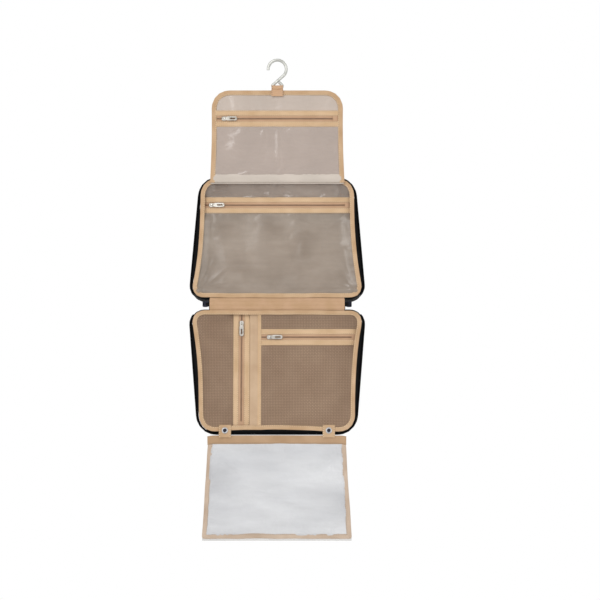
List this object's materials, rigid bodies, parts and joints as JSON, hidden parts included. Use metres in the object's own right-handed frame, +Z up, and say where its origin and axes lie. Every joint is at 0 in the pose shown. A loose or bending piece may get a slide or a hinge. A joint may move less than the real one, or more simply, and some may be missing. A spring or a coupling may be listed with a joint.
{
  "type": "hanging toiletry bag",
  "caption": "Clamshell toiletry bag that opens flat below a zipped flap and hangs from a wire hook, with film and net pockets and a pouch held by two press studs.",
  "frame": {"origin": "seat inside the top of the hook's bow, in the hook's plane", "axes": "+X to the right as the pockets are faced, +Y to the back, +Z up"},
  "size_m": [0.2782, 0.0965, 0.7595],
  "materials": {
    "satin_wire": "satin",
    "zip_metal": "polished",
    "dark_zip_metal": "semi-gloss",
    "tan_fabric": "ribbed tape",
    "pale_fabric": "folded band",
    "rose_fabric": "ribbed tape",
    "clear_film": "glossy clear film",
    "frosted_film": "frosted film",
    "milky_film": "milky film",
    "brown_net": "fine net",
    "black_nylon": "woven",
    "tan_lining": "woven lining",
    "zip_coil": "moulded coil"
  },
  "bodies": {
    "hook": {"hanger_hook": "satin_wire"},
    "strap": {"hook_strap_loop": "tan_fabric"},
    "flap": {"hook_strap_tail": "tan_fabric", "flap_binding": "tan_fabric", "flap_back_panel": "clear_film", "flap_top_pane": "clear_film", "flap_pocket_pane": "clear_film", "flap_hinge_band": "pale_fabric", "flap_zip_tapes": "tan_fabric", "flap_zip_coil": "zip_coil"},
    "flap_slider": {"flap_zip_slider": "zip_metal"},
    "flap_pull": {"flap_zip_pull": "zip_metal"},
    "upper_case": {"flap_hinge_strip": "tan_fabric", "upper_gusset": "black_nylon", "upper_back_panel": "black_nylon", "upper_lining_board": "tan_lining", "upper_rim_binding": "tan_fabric", "upper_perimeter_zip": "black_nylon", "upper_clear_strip": "clear_film", "upper_pocket_pane": "frosted_film", "upper_zip_tapes": "tan_fabric", "upper_zip_coil": "zip_coil"},
    "upper_slider": {"upper_zip_slider": "zip_metal"},
    "upper_pull": {"upper_zip_pull": "zip_metal"},
    "spine": {"spine_lining": "tan_fabric", "spine_cover": "black_nylon", "perimeter_left_slider": "dark_zip_metal", "perimeter_right_slider": "dark_zip_metal"},
    "left_perimeter_pull": {"perimeter_left_pull": "dark_zip_metal"},
    "right_perimeter_pull": {"perimeter_right_pull": "dark_zip_metal"},
    "lower_case": {"lower_gusset": "black_nylon", "lower_back_panel": "black_nylon", "lower_lining_board": "tan_lining", "lower_rim_binding": "tan_fabric", "lower_perimeter_zip": "black_nylon", "lower_left_net": "brown_net", "lower_top_net": "brown_net", "lower_main_net": "brown_net", "divider_strip": "tan_fabric", "pocket_partition": "tan_lining", "vertical_zip_tapes": "tan_fabric", "vertical_zip_coil": "zip_coil", "lower_zip_tapes": "tan_fabric", "lower_zip_coil": "zip_coil", "left_snap_stud": "zip_metal", "right_snap_stud": "zip_metal"},
    "vertical_slider": {"vertical_zip_slider": "zip_metal"},
    "vertical_pull": {"vertical_zip_pull": "zip_metal"},
    "lower_slider": {"lower_zip_slider": "zip_metal"},
    "lower_pull": {"lower_zip_pull": "zip_metal"},
    "tabs": {"left_snap_cap": "zip_metal", "right_snap_cap": "zip_metal", "left_pouch_tab": "tan_fabric", "right_pouch_tab": "tan_fabric"},
    "pouch": {"pouch_edge_binding": "rose_fabric", "pouch_front_pane": "milky_film", "pouch_back_pane": "milky_film", "pouch_hem": "clear_film", "pouch_top_band": "tan_fabric"}
  },
  "joints": [
    {"name": "hook_swing", "type": "hinge", "parent": "hook", "child": "strap", "pos_m": [0, 0, -0.0415], "axis": [-1, 0, 0], "range_deg": [-90, 90]},
    {"name": "strap_fold", "type": "hinge", "parent": "strap", "child": "flap", "pos_m": [0, -0.0005, -0.0461], "axis": [-1, 0, 0], "range_deg": [0, 90]},
    {"name": "flap_fold", "type": "hinge", "parent": "flap", "child": "upper_case", "pos_m": [0, 0.0005, -0.1933], "axis": [-1, 0, 0], "range_deg": [-6.89, 173.11]},
    {"name": "spine_fold_upper", "type": "hinge", "parent": "upper_case", "child": "spine", "pos_m": [0, -0.01822, -0.37738], "axis": [-1, 0, 0], "range_deg": [-7, 90]},
    {"name": "spine_fold_lower", "type": "hinge", "parent": "spine", "child": "lower_case", "pos_m": [0, -0.02011, -0.39307], "axis": [-1, 0, 0], "range_deg": [-7, 90]},
    {"name": "snap_release", "type": "slide", "parent": "lower_case", "child": "tabs", "axis": [0, 0.9928, -0.12], "range_m": [-0.03, 0]},
    {"name": "pouch_fold", "type": "hinge", "parent": "tabs", "child": "pouch", "pos_m": [0, -0.04611, -0.58987], "axis": [-1, 0, 0], "range_deg": [-1, 186.89]},
    {"name": "flap_zip_run", "type": "slide", "parent": "flap", "child": "flap_slider", "axis": [1, 0, 0], "range_m": [0, 0.165]},
    {"name": "upper_zip_run", "type": "slide", "parent": "upper_case", "child": "upper_slider", "axis": [1, 0, 0], "range_m": [0, 0.2]},
    {"name": "lower_zip_run", "type": "slide", "parent": "lower_case", "child": "lower_slider", "axis": [1, 0, 0], "range_m": [0, 0.12]},
    {"name": "vertical_zip_run", "type": "slide", "parent": "lower_case", "child": "vertical_slider", "axis": [0, -0.12, -0.9928], "range_m": [0, 0.145]},
    {"name": "flap_pull_swing", "type": "hinge", "parent": "flap_slider", "child": "flap_pull", "pos_m": [-0.084, -0.0013, -0.0904], "axis": [0, 0, 1], "range_deg": [-150, 0]},
    {"name": "upper_pull_swing", "type": "hinge", "parent": "upper_slider", "child": "upper_pull", "pos_m": [-0.10435, 0.00341, -0.2276], "axis": [0, 0.12, 0.9928], "range_deg": [-150, 0]},
    {"name": "lower_pull_swing", "type": "hinge", "parent": "lower_slider", "child": "lower_pull", "pos_m": [-0.0116, -0.02193, -0.43727], "axis": [0, 0.12, 0.9928], "range_deg": [-150, 0]},
    {"name": "vertical_pull_swing", "type": "hinge", "parent": "vertical_slider", "child": "vertical_pull", "pos_m": [-0.056, -0.01936, -0.41603], "axis": [1, 0, 0], "range_deg": [-150, 0]},
    {"name": "left_perimeter_swing", "type": "hinge", "parent": "spine", "child": "left_perimeter_pull", "pos_m": [-0.1125, -0.0145, -0.38579], "axis": [0, -0.12, -0.9928], "range_deg": [-150, 0]},
    {"name": "right_perimeter_swing", "type": "hinge", "parent": "spine", "child": "right_perimeter_pull", "pos_m": [0.1125, -0.0145, -0.38579], "axis": [0, 0.12, 0.9928], "range_deg": [-150, 0]}
  ]
}
